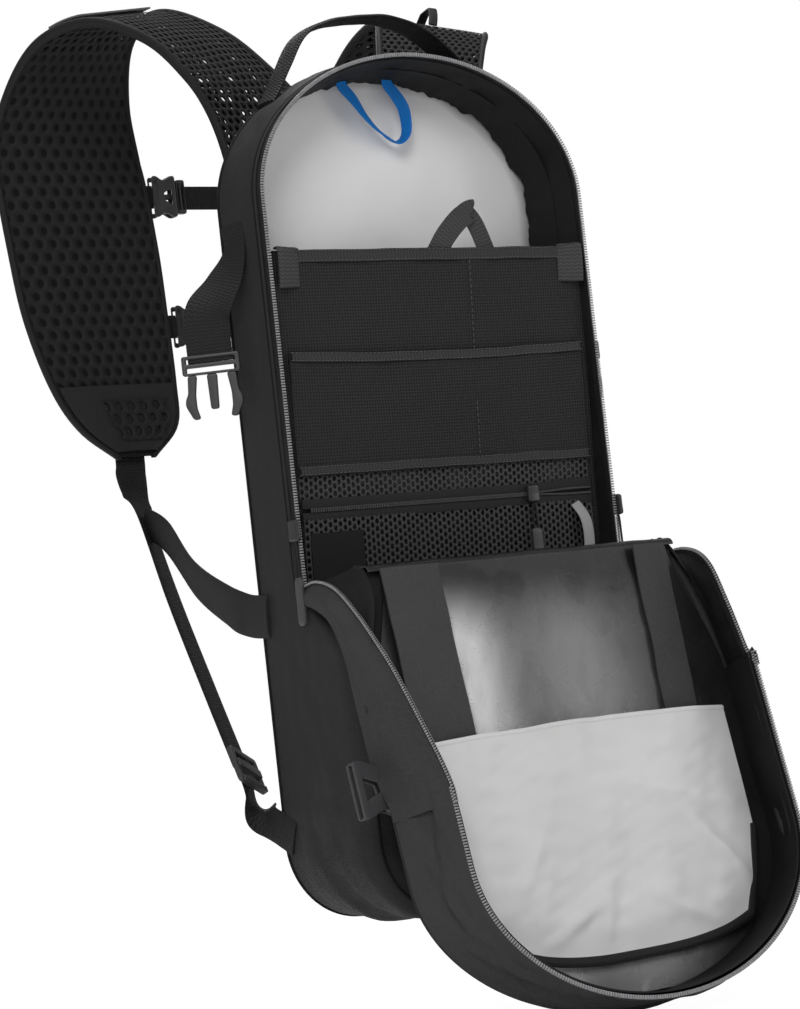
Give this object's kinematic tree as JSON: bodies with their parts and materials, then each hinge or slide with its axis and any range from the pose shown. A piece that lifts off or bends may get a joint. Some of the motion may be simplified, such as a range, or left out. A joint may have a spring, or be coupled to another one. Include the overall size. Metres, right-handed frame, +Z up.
{
  "type": "hydration pack",
  "caption": "Slim hydration pack hung open: arched body, fold-down zipped front panel, organiser, and padded vest straps with sternum and compression straps.",
  "frame": {"origin": "middle of the grab handle's underside, where a hook carries the pack", "axes": "+Z up, +Y from the pack's front towards the wearer, +X to the right as seen from the front"},
  "size_m": [0.3232, 0.3822, 0.5999],
  "materials": {
    "anchor_webbing_left": "woven, matt",
    "anchor_webbing_right": "woven, matt",
    "back_panel_pad": "woven, matt",
    "body_shell": "woven, matt",
    "body_zip_tape": "woven, matt",
    "compression_plug_left": "moulded, satin",
    "compression_plug_right": "moulded, satin",
    "compression_socket_left": "moulded, satin",
    "compression_socket_right": "moulded, satin",
    "compression_webbing_left": "woven, matt",
    "compression_webbing_right": "woven, matt",
    "corner_tab_left": "woven, matt",
    "corner_tab_right": "woven, matt",
    "front_panel_lining": "coated fabric, glossy silver",
    "front_panel_pocket": "woven, matt",
    "front_panel_seam_tape_left": "woven, matt",
    "front_panel_seam_tape_right": "woven, matt",
    "front_panel_shell": "woven, matt",
    "front_panel_zip_tape": "woven, matt",
    "grab_handle": "woven, matt",
    "hanger_loop": "ribbed blue webbing",
    "key_clip": "moulded, satin",
    "key_strap": "woven, matt",
    "ladder_lock_left": "moulded, satin",
    "ladder_lock_right": "moulded, satin",
    "lining_panel": "woven, matt",
    "lower_sternum_anchor": "woven, matt",
    "lower_sternum_plug": "moulded, satin",
    "lower_sternum_socket": "moulded, satin",
    "lower_sternum_webbing": "woven, matt",
    "lower_webbing_left": "woven, matt",
    "lower_webbing_right": "woven, matt",
    "lower_wing_left": "woven, matt",
    "lower_wing_right": "woven, matt",
    "main_zip_pull_left": "moulded, satin",
    "main_zip_pull_right": "moulded, satin",
    "main_zip_slider_left": "moulded, satin",
    "main_zip_slider_right": "moulded, satin",
    "organiser_mesh_pocket": "woven, matt",
    "organiser_panel": "woven, matt",
    "organiser_patch": "woven, matt",
    "organiser_pull_loop": "woven, matt",
    "organiser_stretch_pocket": "woven, matt",
    "organiser_zip_pull": "moulded, satin",
    "organiser_zip_slider": "moulded, satin",
    "organiser_zip_tape": "woven, matt",
    "pocket_binding": "woven, matt",
    "shoulder_strap_left": "woven, matt",
    "shoulder_strap_right": "woven, matt",
    "strap_elastic_keeper": "woven, matt",
    "strap_label_band": "woven, matt",
    "strap_yoke": "woven, matt",
    "upper_sternum_anchor": "woven, matt",
    "upper_sternum_plug": "moulded, satin",
    "upper_sternum_socket": "moulded, satin",
    "upper_sternum_webbing": "woven, matt"
  },
  "bodies": {
    "pack": {"body_shell": "body_shell", "back_panel_pad": "back_panel_pad", "strap_yoke": "strap_yoke", "lining_panel": "lining_panel", "body_zip_tape": "body_zip_tape", "organiser_panel": "organiser_panel", "organiser_stretch_pocket": "organiser_stretch_pocket", "organiser_mesh_pocket": "organiser_mesh_pocket", "organiser_zip_tape": "organiser_zip_tape", "organiser_patch": "organiser_patch", "corner_tab_left": "corner_tab_left", "corner_tab_right": "corner_tab_right", "organiser_pull_loop": "organiser_pull_loop", "grab_handle": "grab_handle", "shoulder_strap_left": "shoulder_strap_left", "shoulder_strap_right": "shoulder_strap_right", "strap_label_band": "strap_label_band", "strap_elastic_keeper": "strap_elastic_keeper", "lower_webbing_left": "lower_webbing_left", "lower_webbing_right": "lower_webbing_right", "lower_wing_left": "lower_wing_left", "lower_wing_right": "lower_wing_right", "anchor_webbing_left": "anchor_webbing_left", "anchor_webbing_right": "anchor_webbing_right", "compression_webbing_left": "compression_webbing_left", "compression_webbing_right": "compression_webbing_right"},
    "front_panel": {"front_panel_shell": "front_panel_shell", "front_panel_zip_tape": "front_panel_zip_tape", "front_panel_lining": "front_panel_lining", "front_panel_seam_tape_left": "front_panel_seam_tape_left", "front_panel_seam_tape_right": "front_panel_seam_tape_right", "front_panel_pocket": "front_panel_pocket", "pocket_binding": "pocket_binding", "compression_socket_left": "compression_socket_left", "compression_socket_right": "compression_socket_right"},
    "hanger": {"hanger_loop": "hanger_loop"},
    "key_keeper": {"key_strap": "key_strap", "key_clip": "key_clip"},
    "organiser_slider": {"organiser_zip_slider": "organiser_zip_slider"},
    "organiser_pull": {"organiser_zip_pull": "organiser_zip_pull"},
    "main_slider_left": {"main_zip_slider_left": "main_zip_slider_left"},
    "main_pull_left": {"main_zip_pull_left": "main_zip_pull_left"},
    "side_plug_left": {"compression_plug_left": "compression_plug_left"},
    "ladder_lock_left": {"ladder_lock_left": "ladder_lock_left"},
    "main_slider_right": {"main_zip_slider_right": "main_zip_slider_right"},
    "main_pull_right": {"main_zip_pull_right": "main_zip_pull_right"},
    "side_plug_right": {"compression_plug_right": "compression_plug_right"},
    "ladder_lock_right": {"ladder_lock_right": "ladder_lock_right"},
    "upper_sternum": {"upper_sternum_anchor": "upper_sternum_anchor", "upper_sternum_socket": "upper_sternum_socket", "upper_sternum_webbing": "upper_sternum_webbing"},
    "upper_sternum_plug": {"upper_sternum_plug": "upper_sternum_plug"},
    "lower_sternum": {"lower_sternum_anchor": "lower_sternum_anchor", "lower_sternum_socket": "lower_sternum_socket", "lower_sternum_webbing": "lower_sternum_webbing"},
    "lower_sternum_plug": {"lower_sternum_plug": "lower_sternum_plug"}
  },
  "joints": [
    {"name": "front_panel_fold", "type": "hinge", "parent": "pack", "child": "front_panel", "pos_m": [0, -0.083, -0.299], "axis": [-1, 0, 0], "range_deg": [0, 166]},
    {"name": "hanger_loop_swing", "type": "hinge", "parent": "pack", "child": "hanger", "pos_m": [-0.01, -0.002, -0.03567], "axis": [-1, 0, 0], "range_deg": [-7, 60]},
    {"name": "key_strap_swing", "type": "hinge", "parent": "pack", "child": "key_keeper", "pos_m": [0.089, -0.02941, -0.2889], "axis": [-1, 0, 0], "range_deg": [0, 60]},
    {"name": "organiser_zip_slide", "type": "slide", "parent": "pack", "child": "organiser_slider", "axis": [1, 0, 0], "range_m": [-0.145, 0.022]},
    {"name": "organiser_pull_swing", "type": "hinge", "parent": "organiser_slider", "child": "organiser_pull", "pos_m": [0.055, -0.03147, -0.2883], "axis": [-1, 0, 0], "range_deg": [0, 80]},
    {"name": "main_zip_slide_left", "type": "slide", "parent": "pack", "child": "main_slider_left", "axis": [0, 0, 1], "range_m": [0, 0.18]},
    {"name": "main_pull_swing_left", "type": "hinge", "parent": "main_slider_left", "child": "main_pull_left", "pos_m": [-0.1101, -0.0373, -0.2998], "axis": [0, 1, 0], "range_deg": [0, 80]},
    {"name": "side_plug_swing_left", "type": "hinge", "parent": "pack", "child": "side_plug_left", "pos_m": [-0.13, -0.002, -0.1919], "axis": [-0.8, 0.6, 0], "range_deg": [-10, 60]},
    {"name": "ladder_lock_slide_left", "type": "slide", "parent": "pack", "child": "ladder_lock_left", "axis": [-0.0943, -0.6119, -0.7853], "range_m": [-0.012, 0.004]},
    {"name": "main_zip_slide_right", "type": "slide", "parent": "pack", "child": "main_slider_right", "axis": [0, 0, 1], "range_m": [0, 0.18]},
    {"name": "main_pull_swing_right", "type": "hinge", "parent": "main_slider_right", "child": "main_pull_right", "pos_m": [0.1101, -0.0373, -0.2998], "axis": [0, -1, 0], "range_deg": [0, 80]},
    {"name": "side_plug_swing_right", "type": "hinge", "parent": "pack", "child": "side_plug_right", "pos_m": [0.13, -0.002, -0.1919], "axis": [-0.8, -0.6, 0], "range_deg": [-10, 60]},
    {"name": "ladder_lock_slide_right", "type": "slide", "parent": "pack", "child": "ladder_lock_right", "axis": [0.0943, -0.6119, -0.7853], "range_m": [-0.012, 0.004]},
    {"name": "upper_sternum_height", "type": "slide", "parent": "pack", "child": "upper_sternum", "axis": [0, 0, 1], "range_m": [-0.015, 0.015]},
    {"name": "upper_sternum_release", "type": "slide", "parent": "upper_sternum", "child": "upper_sternum_plug", "axis": [1, 0, 0], "range_m": [0, 0.02]},
    {"name": "lower_sternum_height", "type": "slide", "parent": "pack", "child": "lower_sternum", "axis": [0, 0, 1], "range_m": [-0.015, 0.015]},
    {"name": "lower_sternum_release", "type": "slide", "parent": "lower_sternum", "child": "lower_sternum_plug", "axis": [1, 0, 0], "range_m": [0, 0.02]}
  ]
}
